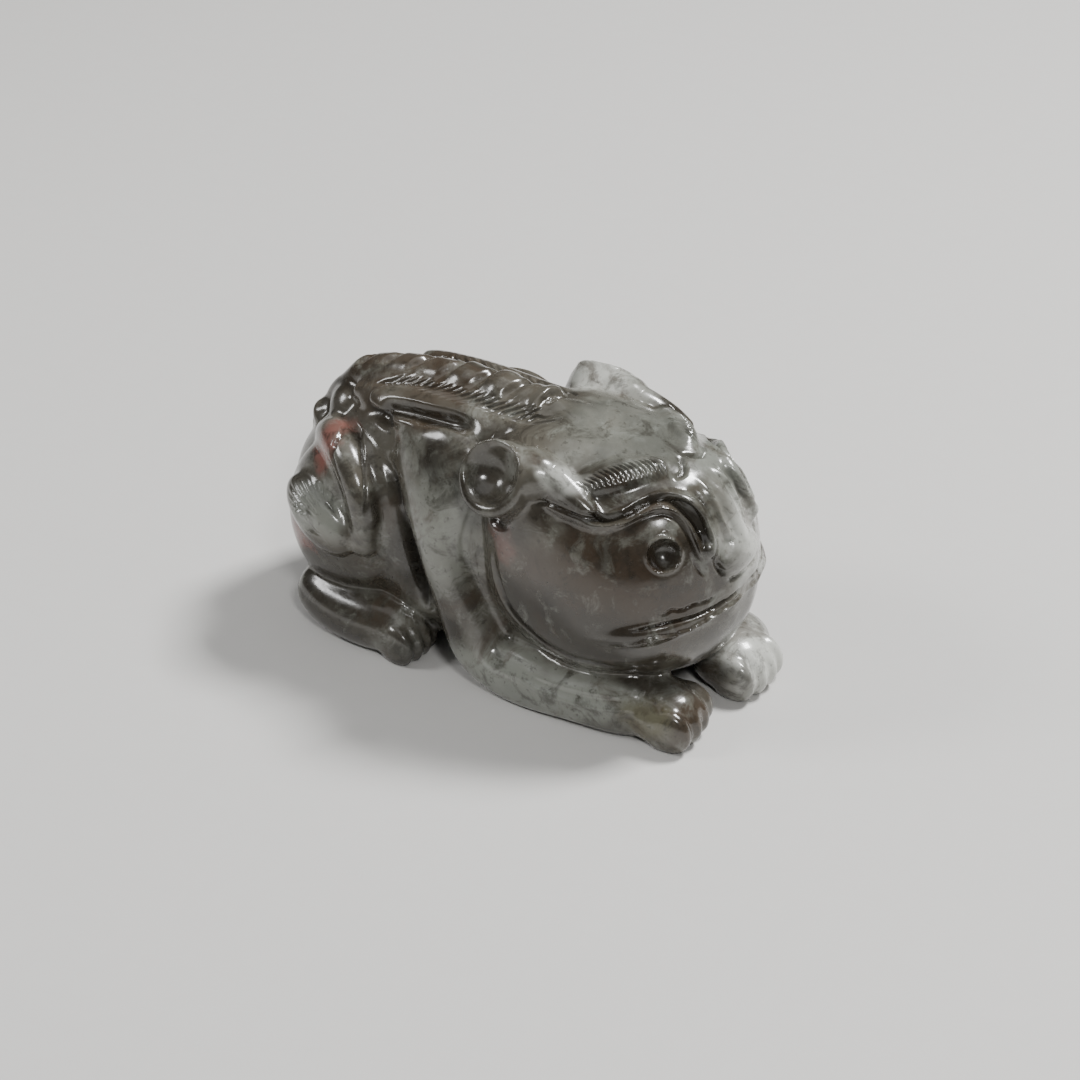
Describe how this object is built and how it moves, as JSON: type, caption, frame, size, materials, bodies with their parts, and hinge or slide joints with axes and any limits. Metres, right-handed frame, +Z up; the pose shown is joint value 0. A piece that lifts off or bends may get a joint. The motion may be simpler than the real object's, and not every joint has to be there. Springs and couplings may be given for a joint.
{
  "type": "jade figurine",
  "caption": "Small polished stone carving of a recumbent guardian beast, chin on its forelegs and tail curled at the haunch, that rests on a flat base.",
  "frame": {"origin": "middle of the bounding box in plan, on the plane that the carving rests on", "axes": "+X towards the nose, +Y towards the animal's left side, +Z up"},
  "size_m": [0.0525, 0.026, 0.0301],
  "materials": {
    "jade_grey": "polished, mottled grey-brown jade",
    "jade_pale": "polished pale grey-green jade",
    "jade_russet": "polished jade with a russet skin"
  },
  "bodies": {
    "root": {"torso": "jade_grey", "spine_ridge": "jade_grey", "right_mane": "jade_grey", "left_mane": "jade_grey", "head": "jade_grey", "lower_jaw": "jade_grey", "nose": "jade_pale", "right_ear": "jade_pale", "left_ear": "jade_pale", "right_brow": "jade_grey", "left_brow": "jade_grey", "right_eyelid": "jade_grey", "left_eyelid": "jade_grey", "right_eye": "jade_grey", "left_eye": "jade_grey", "right_foreleg": "jade_pale", "left_foreleg": "jade_pale", "right_forepaw": "jade_pale", "left_forepaw": "jade_pale", "right_haunch": "jade_grey", "left_haunch": "jade_grey", "right_shank": "jade_grey", "left_shank": "jade_grey", "right_hindpaw": "jade_grey", "left_hindpaw": "jade_grey", "tail": "jade_russet", "tail_tuft": "jade_pale"}
  },
  "joints": []
}
